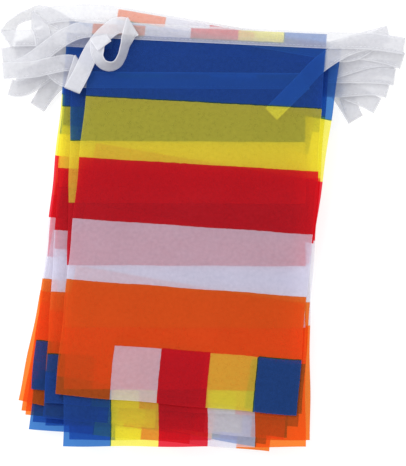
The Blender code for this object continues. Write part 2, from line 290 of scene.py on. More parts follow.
@dataclass(frozen=True)
class Stack:
    """How the levels of the folded string lie on each other, level 1 on top.

    Attributes:
        levels: The number of levels, one for each flag and two for the tucked tape.
        tuck_levels: The levels of the tape that is tucked under the top flag.
        sag_from: Where, in Y, the top flag begins to sag beyond the tucked tape.
        sag_to: Where it lies on the second flag.
        cloth: The thickness of the solids.
        pitch: The height from one level to the next.
        swell: How far the loose stack rises at its middle.
        ripple: How deep the cloth's long soft waves are on the top level.
        crumple: How much deeper they are in the loops at both sides.
        crumple_from: The distance from the middle where the tape begins to crumple.
        crumple_to: The distance where it is fully crumpled.
        puff: How much looser the loops are than the stack.
        puff_from: The distance from the middle where the loops loosen.
        puff_to: The distance where they are fully loose.
    """

    levels: int = 18
    tuck_levels: int = 2
    sag_from: float = 0.046
    sag_to: float = 0.018
    cloth: float = 0.0010
    pitch: float = 0.0014
    swell: float = 0.0018
    ripple: float = 0.0007
    crumple: float = 0.0011
    crumple_from: float = 0.070
    crumple_to: float = 0.092
    puff: float = 0.20
    puff_from: float = 0.082
    puff_to: float = 0.114

    def hills(self, x: float, y: float) -> float:
        """How the loose stack rises here, from 0 to about 1."""
        return sum(bump(x, y, centre, reach) for centre, reach in HILLS)

    def waves(self, x: float, y: float) -> float:
        """The soft waves that all levels share, from -1 to 1."""
        slow = math.sin(62.0 * x + 34.0 * y + 0.8) * math.cos(41.0 * y - 27.0 * x + 0.4)
        slant = math.sin(118.0 * x - 71.0 * y + 2.1)
        return 0.7 * slow + 0.3 * slant

    def creases(self, x: float, y: float) -> float:
        """The tighter waves of the bunched tape, from -1 to 1."""
        first = math.sin(300.0 * x + 210.0 * y + 1.3)
        second = math.sin(410.0 * y - 130.0 * x + 0.2)
        return 0.6 * first + 0.4 * second

    def height(self, level: float, x: float, y: float) -> float:
        """The middle of the cloth on a level.

        Args:
            level: The level, counted from the top.
            x: The place across the flags.
            y: The place towards the tape.

        Returns:
            The height above the surface that the stack lies on.
        """
        below = self.levels - level
        share = below / self.levels
        flat = self.cloth / 2 + below * self.pitch
        return flat + share * (
            self.swell * self.hills(x, y) + self.ripple * self.waves(x, y)
        )

    def level_of(self, number: int) -> int:
        """The level of a flag."""
        return number if number == 1 else number + self.tuck_levels

    def flag_height(self, number: int, x: float, y: float) -> float:
        """The middle of a flag's cloth. The top one sags beyond the tucked tape.

        Args:
            number: The flag, counted from the top.
            x: The place across the flags.
            y: The place towards the tape.

        Returns:
            The height above the surface that the stack lies on.
        """
        fall = smooth_step(self.sag_from - y, 0.0, self.sag_from - self.sag_to)
        sag = self.tuck_levels * fall if number == 1 else 0.0
        return self.height(self.level_of(number) + sag, x, y)

    def loop_height(self, level: float, x: float, y: float) -> float:
        """The middle of the tape on a level, where the loops stand looser.

        Args:
            level: The level, counted from the top.
            x: The place across the flags.
            y: The place towards the tape.

        Returns:
            The height above the surface that the stack lies on.
        """
        share = smooth_step(abs(x), self.puff_from, self.puff_to)
        below = self.levels - level
        loose = share * self.puff * below * self.pitch
        crushed = smooth_step(abs(x), self.crumple_from, self.crumple_to)
        depth = crushed * self.crumple * below / self.levels
        return self.height(level, x, y) + loose + depth * self.creases(x, y)


@dataclass(frozen=True)
class TapeStep:
    """One step of the tape.

    Attributes:
        lip: The edge where the folded tape is open.
        fold: The edge where it is folded lengthwise.
        flag: The flag whose top edge runs there, or 0.
    """

    lip: Vector
    fold: Vector
    flag: int


@dataclass
class TapeRoute:
    """The way the one tape runs and is folded over, from its curled end to its last.

    Attributes:
        stack: The levels that it runs on.
        width: The folded tape's width.
        seam_gap: The space between the tape and the flags' solids.
        flag_width: A flag's width.
        loop_reach: How far a loop runs straight on, as a share of its length.
        run_steps: The steps along a flag.
        loop_steps: The steps of a loop's way out or back.
        fold_steps: The steps of a fold.
        tail_steps: The steps from one place of a free end to the next.
        steps: The steps laid so far.
        side: The side of the tape's way that its lip is on, 1 or -1.
    """

    stack: Stack
    width: float = 0.0096
    seam_gap: float = 0.0004
    flag_width: float = 0.140
    loop_reach: float = 0.36
    run_steps: int = 40
    loop_steps: int = 20
    fold_steps: int = 8
    tail_steps: int = 9
    steps: list[TapeStep] = field(default_factory=list)
    side: float = 1.0

    def top_edge(self, spot: FlagSpot) -> tuple[Vector, Vector]:
        """A flag's top corners in plan, left and right."""
        left = Vector((spot.left, spot.top))
        run = self.flag_width * (1 - spot.drawn)
        return left, left + turned(-spot.top_deg) * run

    def ends_on(self, spot: FlagSpot) -> tuple[Vector, Vector, Vector]:
        """The tape's middle line along a flag.

        Args:
            spot: The flag.

        Returns:
            Its left end, its right end and its direction.
        """
        left, right = self.top_edge(spot)
        along = (right - left).normalized()
        up = left_of(along) * (self.seam_gap + self.width / 2)
        return left + up, right + up, along

    def cubic(
        self,
        start: Vector,
        start_way: Vector,
        end: Vector,
        end_way: Vector,
        steps: int,
    ) -> list[Vector]:
        """Plan points that leave and arrive in the given directions.

        Args:
            start: The first point.
            start_way: The direction there.
            end: The last point.
            end_way: The direction there.
            steps: The number of steps.

        Returns:
            The points, the first and last ones included.
        """
        reach = (end - start).length * self.loop_reach
        first, second = start + start_way * reach, end - end_way * reach
        points = []
        for k in range(steps + 1):
            t = k / steps
            s = 1 - t
            points.append(
                start * s**3
                + first * 3 * s * s * t
                + second * 3 * s * t * t
                + end * t**3
            )
        return points

    def bend_through(
        self, vias: Sequence[Via], start_way: Vector, end_way: Vector, steps: int
    ) -> list[tuple[Vector, float, float]]:
        """A smooth line through the places.

        Args:
            vias: The places.
            start_way: The direction at the first one.
            end_way: The direction at the last one.
            steps: The number of steps from one place to the next.

        Returns:
            The plan point, lift and roll of each step.
        """
        spots = [Vector((v.x, v.y)) for v in vias]
        ways = [start_way]
        ways += [(after - before).normalized() for before, after in zip(spots, spots[2:])]
        ways.append(end_way)
        line = []
        for k, (here, there) in enumerate(zip(vias, vias[1:])):
            points = self.cubic(spots[k], ways[k], spots[k + 1], ways[k + 1], steps)
            for j, point in enumerate(points[:-1]):
                share = smooth_step(j, 0, steps)
                lift = here.lift + (there.lift - here.lift) * share
                roll = here.roll_deg + (there.roll_deg - here.roll_deg) * share
                line.append((point, lift, roll))
        line.append((spots[-1], vias[-1].lift, vias[-1].roll_deg))
        return line

    def crease_reach(self, way: Vector, crease: Vector | None) -> float:
        """How far a slanting crease reaches along the tape from its middle.

        Args:
            way: The tape's direction.
            crease: The crease's direction, or None.

        Returns:
            The distance, or 0 where there is no crease.
        """
        if crease is None:
            return 0.0
        slant = abs(way.dot(crease) / left_of(way).dot(crease))
        return self.width / 2 * slant + self.stack.cloth / 2

    def add(self, middle: Vector, across: Vector, heights: tuple, flag: int) -> None:
        """Lays one step.

        Args:
            middle: The tape's middle in plan.
            across: The way from there to one edge.
            heights: The heights of that edge and of the other.
            flag: The flag there, or 0.
        """
        offset = across * self.side
        lip = Vector((middle.x + offset.x, middle.y + offset.y, heights[0]))
        fold = Vector((middle.x - offset.x, middle.y - offset.y, heights[1]))
        self.steps.append(TapeStep(lip, fold, flag))

    def follow(
        self,
        line: Sequence[tuple[Vector, float, float]],
        level: int,
        creases: tuple[Vector | None, Vector | None] = (None, None),
        flag: int = 0,
    ) -> None:
        """Lays the tape along a line on one level.

        Args:
            line: The plan point, lift and roll of each step.
            level: The level that it runs on.
            creases: The crease at the line's start and at its end, or None.
            flag: The flag whose top edge runs there, or 0.
        """
        last = len(line) - 1
        first_way = (line[1][0] - line[0][0]).normalized()
        last_way = (line[-1][0] - line[-2][0]).normalized()
        after_start = self.crease_reach(first_way, creases[0])
        before_end = self.crease_reach(last_way, creases[1])
        for k, (point, lift, roll_deg) in enumerate(line):
            near_start = (point - line[0][0]).length < after_start
            near_end = (point - line[last][0]).length < before_end
            if 0 < k < last and (near_start or near_end):
                continue
            way = (line[min(k + 1, last)][0] - line[max(k - 1, 0)][0]).normalized()
            across = left_of(way)
            crease = creases[0] if k == 0 else creases[1] if k == last else None
            roll = math.radians(roll_deg) * self.side
            if crease is not None:
                across = crease / crease.dot(across)
                roll = 0.0
            across = across * (self.width / 2 * math.cos(roll))
            rise = self.width / 2 * math.sin(roll)
            heights = []
            for sign in (1.0, -1.0):
                edge = point + across * self.side * sign
                z = self.stack.loop_height(level, edge.x, edge.y)
                heights.append(z + lift + sign * rise)
            self.add(point, across, tuple(heights), flag)

    def fold_over(
        self,
        point: Vector,
        arrive: Vector,
        crease: Vector,
        level: int,
        lift: float = 0.0,
    ) -> None:
        """Turns the tape over a crease, down to the next level.

        Args:
            point: The crease's middle in plan.
            arrive: The direction in which the tape comes.
            crease: The direction of the crease.
            level: The level that it comes from.
            lift: How far above its level the crease is.
        """
        outward = left_of(crease)
        if outward.dot(arrive) < 0:
            outward = -outward
        across = crease / crease.dot(left_of(arrive)) * (self.width / 2)
        edges = [point + across * self.side * sign for sign in (1.0, -1.0)]
        pairs = [
            [self.stack.loop_height(lv, e.x, e.y) + lift for lv in (level, level + 1)]
            for e in edges
        ]
        radius = (pairs[0][0] - pairs[0][1] + pairs[1][0] - pairs[1][1]) / 4
        for k in range(1, self.fold_steps):
            turn = math.pi * k / self.fold_steps
            place = point + outward * (radius * math.sin(turn))
            heights = tuple(
                (p[0] + p[1]) / 2 + (p[0] - p[1]) / 2 * math.cos(turn) for p in pairs
            )
            self.add(place, across, heights, 0)
        self.side = -self.side

    def lay_folds(
        self, lines: Sequence[Sequence[Via]], leave_way: Vector, level: int
    ) -> tuple[Vector, int]:
        """Lays lines of places, folded over after each.

        Args:
            lines: The places of each line.
            leave_way: The direction after the last fold.
            level: The first line's level.

        Returns:
            The last crease and the level below it.
        """
        start_crease = None
        for k, vias in enumerate(lines):
            last = k + 1 == len(lines)
            arrive = way_between(vias[-2], vias[-1])
            leave = leave_way if last else way_between(*lines[k + 1][:2])
            start_way = way_between(*vias[:2])
            line = self.bend_through(vias, start_way, arrive, self.tail_steps)
            crease = left_of(arrive - leave).normalized()
            self.follow(line, level, (start_crease, crease))
            self.fold_over(line[-1][0], arrive, crease, level, vias[-1].lift)
            start_crease = crease
            level += 1
        return start_crease, level

    def lay_tail(self) -> None:
        """Lays the free end, from its cut end to the top flag."""
        left, _, along = self.ends_on(FLAG_SPOTS[0])
        leave = turned(TAIL_TURN_DEG - 180)
        crease, level = self.lay_folds(TAIL, leave, 1 - len(TAIL))
        start = Vector((TAIL[-1][-1].x, TAIL[-1][-1].y))
        back = self.cubic(start, leave, left, along, self.loop_steps)
        self.follow(level_line(back[:-1]), level, (crease, None))

    def lay_first_loop(self) -> Vector:
        """Lays the tape from the top flag to the second one.

        Returns:
            The crease at its end.
        """
        _, start, _ = self.ends_on(FLAG_SPOTS[0])
        _, end, along = self.ends_on(FLAG_SPOTS[1])
        out, back, up = FIRST_LOOP
        lines = ((Via(*start), *out), back, (*up, Via(*end)))
        crease, _ = self.lay_folds(lines, -along, 1)
        return crease

    def lay_loop(
        self,
        start: tuple[Vector, Vector],
        loop: LoopSpot,
        end: tuple[Vector, Vector],
        level: int,
    ) -> None:
        """Lays a loop of spare tape: out on one level and back on the next.

        Args:
            start: The place and direction where it leaves a flag.
            loop: The fold at its far end.
            end: The place and direction where it reaches the next flag.
            level: The level that it leaves on.
        """
        far = Via(loop.x, loop.y)
        arrive, leave = turned(loop.arrive_deg), turned(loop.leave_deg)
        crease = turned((loop.arrive_deg + loop.leave_deg) / 2)
        steps = [self.loop_steps // (len(vias) + 1) for vias in (loop.out, loop.back)]
        places = (Via(*start[0]), *loop.out, far)
        out = self.bend_through(places, start[1], arrive, steps[0])
        self.follow(out[1:], level, (None, crease))
        self.fold_over(out[-1][0], arrive, crease, level)
        places = (far, *loop.back, Via(*end[0]))
        back = self.bend_through(places, leave, end[1], steps[1])
        self.follow(back[:-1], level + 1, (crease, None))

    def lay(self) -> list[TapeStep]:
        """Lays the whole tape.

        Returns:
            Its steps, from the curled free end to the bottom one.
        """
        self.lay_tail()
        count = len(FLAG_SPOTS)
        crease = None
        for number, spot in enumerate(FLAG_SPOTS, start=1):
            leftwards = number % 2 == 0
            level = self.stack.level_of(number)
            left, right, along = self.ends_on(spot)
            here = (right, left, -along) if leftwards else (left, right, along)
            run = [
                here[0].lerp(here[1], k / self.run_steps)
                for k in range(self.run_steps + 1)
            ]
            if number == 1:
                self.follow(level_line(run[:-1]), level, flag=number)
                crease = self.lay_first_loop()
                continue
            self.follow(level_line(run), level, (crease, None), number)
            crease = None
            if number == count:
                way = (BOTTOM_END - here[1]).normalized()
                last = self.cubic(here[1], here[2], BOTTOM_END, way, self.loop_steps)
                self.follow(level_line(last[1:]), level)
                continue
            next_left, next_right, next_along = self.ends_on(FLAG_SPOTS[number])
            end = (next_left, next_along) if leftwards else (next_right, -next_along)
            loops = LEFT_LOOPS if leftwards else RIGHT_LOOPS
            self.lay_loop((here[1], here[2]), loops[number // 2 - 1], end, level)
        return self.steps

    def length(self) -> float:
        """The tape's length along its middle."""
        middles = [(s.lip + s.fold) / 2 for s in self.steps]
        return sum((b - a).length for a, b in zip(middles, middles[1:]))


def level_line(points: Iterable[Vector]) -> list[tuple[Vector, float, float]]:
    """Plan points as steps with no lift and no roll."""
    return [(p, 0.0, 0.0) for p in points]


class NodeDesk:
    """Adds and joins the nodes of one tree."""

    def __init__(self, tree: bpy.types.NodeTree) -> None:
        """Takes the tree to work on.

        Args:
            tree: A material's, a group's or a modifier's tree.
        """
        self.tree = tree

    def add(
        self, kind: str, inputs: dict | None = None, **settings: object
    ) -> bpy.types.Node:
        """Adds a node.

        Args:
            kind: The node's type.
            inputs: A value or an output for each input, by its name or place.
            **settings: The node's own settings.

        Returns:
            The node.
        """
        node = self.tree.nodes.new(kind)
        for name, value in settings.items():
            setattr(node, name, value)
        for key, value in (inputs or {}).items():
            if isinstance(value, Socket):
                self.tree.links.new(value, node.inputs[key])
            else:
                node.inputs[key].default_value = value
        return node

    def math(self, operation: str, *values: object, clamp: bool = False) -> Socket:
        """Adds a Math node.

        Args:
            operation: What it does.
            *values: Its numbers or the outputs that give them.
            clamp: Whether the result stays from 0 to 1.

        Returns:
            Its output.
        """
        node = self.add(
            "ShaderNodeMath", dict(enumerate(values)), operation=operation
        )
        node.use_clamp = clamp
        return node.outputs[0]

    def mix(
        self, factor: object, first: object, second: object, blend: str = "MIX"
    ) -> Socket:
        """Adds a Mix node for colours.

        Args:
            factor: The share of the second colour.
            first: The first colour.
            second: The second colour.
            blend: How they are mixed.

        Returns:
            Its output.
        """
        node = self.add("ShaderNodeMix", data_type="RGBA", blend_type=blend)
        named = {s.identifier: s for s in node.inputs}
        for key, value in (
            ("Factor_Float", factor),
            ("A_Color", first),
            ("B_Color", second),
        ):
            if isinstance(value, Socket):
                self.tree.links.new(value, named[key])
            else:
                named[key].default_value = value
        return next(s for s in node.outputs if s.identifier == "Result_Color")


def new_group(
    name: str, inputs: dict[str, str], outputs: dict[str, str]
) -> tuple[bpy.types.NodeTree, NodeDesk, bpy.types.Node, bpy.types.Node]:
    """Makes an empty shader node group.

    Args:
        name: Its name.
        inputs: The socket type of each input.
        outputs: The socket type of each output.

    Returns:
        The group, a desk on it, and its input and output nodes.
    """
    group = bpy.data.node_groups.new(name, "ShaderNodeTree")
    for label, kind in inputs.items():
        group.interface.new_socket(name=label, in_out="INPUT", socket_type=kind)
    for label, kind in outputs.items():
        group.interface.new_socket(name=label, in_out="OUTPUT", socket_type=kind)
    desk = NodeDesk(group)
    return group, desk, desk.add("NodeGroupInput"), desk.add("NodeGroupOutput")


@dataclass(frozen=True)
class Dye:
    """One dye: the linear colour of the threads, and that of the light they let by."""

    thread: Colour
    passed: Colour


BLUE = Dye((0.026, 0.104, 0.428), (0.085, 0.28, 0.65))
YELLOW = Dye((0.806, 0.687, 0.076), (1.00, 0.97, 0.20))
RED = Dye((0.540, 0.014, 0.030), (0.95, 0.05, 0.08))
WHITE = Dye((0.770, 0.754, 0.920), (0.93, 0.93, 0.93))
ORANGE = Dye((0.815, 0.137, 0.018), (1.00, 0.30, 0.05))
TAPE_WHITE = Dye((0.850, 0.850, 0.890), (0.93, 0.93, 0.93))


@dataclass(frozen=True)
class FlagPrint:
    """The print: five bands and a last row of five blocks.

    Attributes:
        bands: The dyes of the six rows, from the tape down.
        blocks: The dyes of the last row's blocks, from the left.
        repeat: The length of the six rows together.
        width: The printed width.
        overprint: How far neighbouring dyes run into each other.
        bleed: How far the dyes wander along a border, in widths and in repeats.
        bleeds: The number of such places in a metre.
    """

    bands: tuple[Dye, ...] = (BLUE, YELLOW, RED, WHITE, ORANGE, BLUE)
    blocks: tuple[Dye, ...] = (ORANGE, WHITE, RED, YELLOW, BLUE)
    repeat: float = 0.216
    width: float = 0.140
    overprint: float = 0.0003
    bleed: tuple[float, float] = (0.0040, 0.0026)
    bleeds: float = 260.0

    def steps(self, desk: NodeDesk, value: Socket, colours: Sequence[Colour]) -> Socket:
        """A ramp of plain colours of even width.

        Args:
            desk: The desk to work on.
            value: The place along them, from 0 to 1.
            colours: The colours.

        Returns:
            The colour there.
        """
        ramp = desk.add("ShaderNodeValToRGB", {"Fac": value})
        ramp.color_ramp.interpolation = "CONSTANT"
        points = ramp.color_ramp.elements
        points[0].color = (*colours[0], 1.0)
        points[1].position = 1 / len(colours)
        points[1].color = (*colours[1], 1.0)
        for k, colour in enumerate(colours[2:], start=2):
            points.new(k / len(colours)).color = (*colour, 1.0)
        return ramp.outputs["Color"]

    def group(self) -> bpy.types.NodeTree:
        """The print as a node group.

        Returns:
            A group that gives, for a place of the print map, the colour of the threads
            and the colour of the light that they let by.
        """
        group, desk, start, end = new_group(
            "five_colour_print",
            {"Place": "NodeSocketVector"},
            {"Thread": "NodeSocketColor", "Passed": "NodeSocketColor"},
        )
        place = desk.add("ShaderNodeSeparateXYZ", {0: start.outputs["Place"]})
        down = desk.math("SUBTRACT", 1.0, place.outputs["Y"])
        above = desk.math("LESS_THAN", down, 0.0)
        last = desk.math("GREATER_THAN", down, 1 - 1 / len(self.bands))
        in_blocks = desk.math("MAXIMUM", above, last)
        for label, colour_of in (
            ("Thread", lambda dye: dye.thread),
            ("Passed", lambda dye: dye.passed),
        ):
            rows = self.steps(desk, down, [colour_of(d) for d in self.bands])
            across = place.outputs["X"]
            columns = self.steps(desk, across, [colour_of(d) for d in self.blocks])
            desk.tree.links.new(desk.mix(in_blocks, rows, columns), end.inputs[label])
        return group


@dataclass(frozen=True)
class SheerWeave:
    """Thin plain-woven cloth that lets much of the light through.

    Attributes:
        thread: The distance from one thread to the next.
        unevenness: How much the threads differ in thickness.
        slubs: The number of thicker places in a metre.
        clouds: The number of paler places in a metre.
        tone_range: How much the dye's tone differs from place to place.
    """

    thread: float = 0.00042
    unevenness: float = 0.10
    slubs: float = 420.0
    clouds: float = 60.0
    tone_range: float = 0.12

    def group(self) -> bpy.types.NodeTree:
        """The weave as a node group.

        Returns:
            A group that gives, for a place in metres on the cloth, the share of the
            surface that the threads cover, their height, and the tone of the dye.
        """
        group, desk, start, end = new_group(
            "sheer_weave",
            {"Place": "NodeSocketVector", "Cover": "NodeSocketFloat"},
            {
                "Cover": "NodeSocketFloat",
                "Height": "NodeSocketFloat",
                "Tone": "NodeSocketFloat",
            },
        )
        place = start.outputs["Place"]
        axes = desk.add("ShaderNodeSeparateXYZ", {0: place})
        turn = math.tau / self.thread
        warp = desk.math("SINE", desk.math("MULTIPLY", axes.outputs["X"], turn))
        weft = desk.math("SINE", desk.math("MULTIPLY", axes.outputs["Y"], turn))
        crossing = desk.math("MULTIPLY", warp, weft)
        ridge = desk.math("MULTIPLY", desk.math("ADD", warp, weft), 0.25)
        height = desk.math("ADD", desk.math("MULTIPLY", crossing, 0.5), ridge)
        slubs = desk.add(
            "ShaderNodeTexNoise", {"Vector": place, "Scale": self.slubs, "Detail": 2.0}
        )
        cloudy = desk.add(
            "ShaderNodeTexNoise", {"Vector": place, "Scale": self.clouds, "Detail": 3.0}
        )
        uneven = desk.math(
            "MULTIPLY", desk.math("SUBTRACT", slubs.outputs["Fac"], 0.5), self.unevenness
        )
        ribbed = desk.math("MULTIPLY", height, self.unevenness / 2)
        cover = desk.math(
            "ADD", start.outputs["Cover"], desk.math("ADD", uneven, ribbed), clamp=True
        )
        paler = desk.math("MULTIPLY", cloudy.outputs["Fac"], self.tone_range)
        tone = desk.math("ADD", 1 - self.tone_range / 2, paler)
        desk.tree.links.new(cover, end.inputs["Cover"])
        desk.tree.links.new(height, end.inputs["Height"])
        desk.tree.links.new(tone, end.inputs["Tone"])
        return group


@dataclass(frozen=True)
class ClothFinish:
    """What both cloths share.

    Attributes:
        cover: The share of the surface that the threads cover.
        edge_cover: The share along a melted or woven edge.
        crushed_cover: The share where the cloth is crushed.
        edge_width: How wide that edge is, in millimetres.
        roughness: How matt the threads are.
        wrinkles: How many soft wrinkles there are in a metre.
        wrinkle_depth: How deep they are.
    """

    cover: float
    edge_cover: float
    crushed_cover: float
    edge_width: float
    roughness: float
    wrinkles: float
    wrinkle_depth: float


@dataclass
class Finishes:
    """All the materials, made once.

    Attributes:
        flag_print: The print on the flags.
        weave: The weave of both cloths.
        flag_finish: The flag cloth.
        tape_finish: The tape cloth.
        tape_length: The tape's length, for its map.
        tape_width: Its flat width, for its map.
    """

    tape_length: float
    tape_width: float
    flag_print: FlagPrint = FlagPrint()
    weave: SheerWeave = SheerWeave()
    flag_finish: ClothFinish = ClothFinish(0.34, 0.52, 0.34, 0.35, 0.48, 55.0, 0.0012)
    tape_finish: ClothFinish = ClothFinish(0.31, 0.50, 0.47, 0.70, 0.55, 130.0, 0.0022)

    def __post_init__(self) -> None:
        """Makes the shared groups and the materials."""
        self.weave_group = self.weave.group()
        self.print_group = self.flag_print.group()
        self.flag = self.make_flag_cloth()
        self.tape = self.make_tape_cloth()
        self.thread = self.make_thread()
        self.floor = self.make_floor()

    def blank(self, name: str) -> tuple[bpy.types.Material, NodeDesk, bpy.types.Node]:
        """An empty material.

        Args:
            name: Its name.

        Returns:
            The material, a desk on it and its output node.
        """
        material = bpy.data.materials.new(name)
        material.use_nodes = True
        material.node_tree.nodes.clear()
        desk = NodeDesk(material.node_tree)
        return material, desk, desk.add("ShaderNodeOutputMaterial")

    def dress(
        self,
        desk: NodeDesk,
        end: bpy.types.Node,
        dye: tuple[Socket, Socket],
        place: Socket,
        edge: Socket,
        finish: ClothFinish,
    ) -> None:
        """Joins the shaders of a sheer cloth.

        Args:
            desk: The desk on the material.
            end: Its output node.
            dye: The colour of the threads, and of the light that they let by.
            place: The place on the cloth, in metres.
            edge: The distance from the nearest edge, in millimetres.
            finish: The cloth's numbers.
        """
        near = desk.math("DIVIDE", edge, finish.edge_width)
        inner = desk.math("SUBTRACT", 1.0, near, clamp=True)
        crush = desk.add("ShaderNodeAttribute", attribute_name="crush").outputs["Fac"]
        denser = desk.math("MULTIPLY", crush, finish.crushed_cover - finish.cover)
        firmer = desk.math("MULTIPLY", inner, finish.edge_cover - finish.cover)
        cover = desk.math("ADD", finish.cover, desk.math("ADD", denser, firmer))
        weave = desk.add("ShaderNodeGroup", node_tree=self.weave_group)
        desk.tree.links.new(place, weave.inputs["Place"])
        desk.tree.links.new(cover, weave.inputs["Cover"])
        toned = desk.mix(1.0, dye[0], weave.outputs["Tone"], "MULTIPLY")
        object_place = desk.add("ShaderNodeTexCoord").outputs["Object"]
        wrinkle = desk.add(
            "ShaderNodeTexNoise",
            {
                "Vector": object_place,
                "Scale": finish.wrinkles,
                "Detail": 3.0,
                "Roughness": 0.45,
            },
        )
        soft = desk.add(
            "ShaderNodeBump",
            {
                "Strength": 0.55,
                "Distance": finish.wrinkle_depth,
                "Height": wrinkle.outputs["Fac"],
            },
        )
        woven = desk.add(
            "ShaderNodeBump",
            {
                "Strength": 0.5,
                "Distance": 0.00006,
                "Height": weave.outputs["Height"],
                "Normal": soft.outputs["Normal"],
            },
        )
        threads = desk.add(
            "ShaderNodeBsdfPrincipled",
            {
                "Base Color": toned,
                "Roughness": finish.roughness,
                "Specular IOR Level": 0.12,
                "Normal": woven.outputs["Normal"],
            },
        )
        gaps = desk.add("ShaderNodeBsdfTransparent", {"Color": dye[1]})
        cloth = desk.add(
            "ShaderNodeMixShader",
            {
                0: weave.outputs["Cover"],
                1: gaps.outputs["BSDF"],
                2: threads.outputs["BSDF"],
            },
        )
        desk.tree.links.new(cloth.outputs["Shader"], end.inputs["Surface"])

    def make_flag_cloth(self) -> bpy.types.Material:
        """The flags' cloth: sheer polyester with the five-colour print."""
        material, desk, end = self.blank("sheer_printed_polyester")
        p = self.flag_print
        uv = desk.add("ShaderNodeUVMap", uv_map="print").outputs["UV"]
        edge = desk.add("ShaderNodeAttribute", attribute_name="edge").outputs["Fac"]
        place = desk.add(
            "ShaderNodeVectorMath",
            {0: uv, 1: (p.width, p.repeat, 0.0)},
            operation="MULTIPLY",
        ).outputs["Vector"]
        bleed = desk.add("ShaderNodeTexNoise", {"Vector": place, "Scale": p.bleeds})
        shift = desk.add(
            "ShaderNodeVectorMath",
            {0: bleed.outputs["Color"], 1: (0.5, 0.5, 0.5)},
            operation="SUBTRACT",
        ).outputs["Vector"]
        small = desk.add(
            "ShaderNodeVectorMath",
            {0: shift, 1: (*p.bleed, 0.0)},
            operation="MULTIPLY",
        ).outputs["Vector"]
        spread = desk.add(
            "ShaderNodeVectorMath", {0: uv, 1: small}, operation="ADD"
        ).outputs["Vector"]
        dyes = []
        for sign in (1.0, -1.0):
            reach = p.overprint * sign
            moved = desk.add(
                "ShaderNodeVectorMath",
                {0: spread, 1: (reach / p.width, reach / p.repeat, 0.0)},
                operation="ADD",
            )
            dye = desk.add("ShaderNodeGroup", node_tree=self.print_group)
            desk.tree.links.new(moved.outputs["Vector"], dye.inputs["Place"])
            dyes.append(dye.outputs)
        both = tuple(
            desk.mix(1.0, dyes[0][label], dyes[1][label], "DARKEN")
            for label in ("Thread", "Passed")
        )
        self.dress(desk, end, both, place, edge, self.flag_finish)
        return material

    def make_tape_cloth(self) -> bpy.types.Material:
        """The tape's cloth: sheer white ribbon with firm woven edges."""
        material, desk, end = self.blank("sheer_white_tape")
        uv = desk.add("ShaderNodeUVMap", uv_map="cloth").outputs["UV"]
        edge = desk.add("ShaderNodeAttribute", attribute_name="edge").outputs["Fac"]
        place = desk.add(
            "ShaderNodeVectorMath",
            {0: uv, 1: (self.tape_width, self.tape_length, 0.0)},
            operation="MULTIPLY",
        ).outputs["Vector"]
        white = []
        for colour in (TAPE_WHITE.thread, TAPE_WHITE.passed):
            node = desk.add("ShaderNodeRGB")
            node.outputs[0].default_value = (*colour, 1.0)
            white.append(node.outputs[0])
        self.dress(desk, end, tuple(white), place, edge, self.tape_finish)
        return material

    def make_thread(self) -> bpy.types.Material:
        """The sewing thread: white, twisted and slightly shiny."""
        material, desk, end = self.blank("white_sewing_thread")
        place = desk.add("ShaderNodeTexCoord").outputs["Object"]
        twist = desk.add(
            "ShaderNodeTexNoise", {"Vector": place, "Scale": 2600.0, "Detail": 1.0}
        )
        tone = desk.add("ShaderNodeValToRGB", {"Fac": twist.outputs["Fac"]})
        tone.color_ramp.elements[0].color = (0.50, 0.50, 0.55, 1.0)
        tone.color_ramp.elements[1].color = (0.70, 0.70, 0.75, 1.0)
        strand = desk.add(
            "ShaderNodeBump",
            {"Strength": 0.6, "Distance": 0.00005, "Height": twist.outputs["Fac"]},
        )
        thread = desk.add(
            "ShaderNodeBsdfPrincipled",
            {
                "Base Color": tone.outputs["Color"],
                "Roughness": 0.5,
                "Normal": strand.outputs["Normal"],
            },
        )
        desk.tree.links.new(thread.outputs["BSDF"], end.inputs["Surface"])
        return material

    def make_floor(self) -> bpy.types.Material:
        """The plain pale floor."""
        material, desk, end = self.blank("pale_floor")
        plain = desk.add(
            "ShaderNodeBsdfPrincipled",
            {
                "Base Color": (0.34, 0.34, 0.34, 1.0),
                "Roughness": 0.9,
                "Specular IOR Level": 0.1,
                "Emission Color": (1.0, 1.0, 1.0, 1.0),
                "Emission Strength": 0.78,
            },
        )
        desk.tree.links.new(plain.outputs["BSDF"], end.inputs["Surface"])
        return material


def even_lines(low: float, high: float, step: float, rim: Sequence[float]) -> list[float]:
    """Grid lines that are even inside and close together along both ends.

    Args:
        low: The first line.
        high: The last line.
        step: The greatest distance between two lines.
        rim: The extra lines' distances from an end.

    Returns:
        The lines in order.
    """
    inner_low, inner_high = low + rim[-1], high - rim[-1]
    count = max(1, math.ceil((inner_high - inner_low) / step))
    inner = [inner_low + (inner_high - inner_low) * k / count for k in range(count + 1)]
    first = [low + r for r in rim[:-1]]
    last = [high - r for r in rim[-2::-1]]
    return [low, *first, *inner, *last, high]


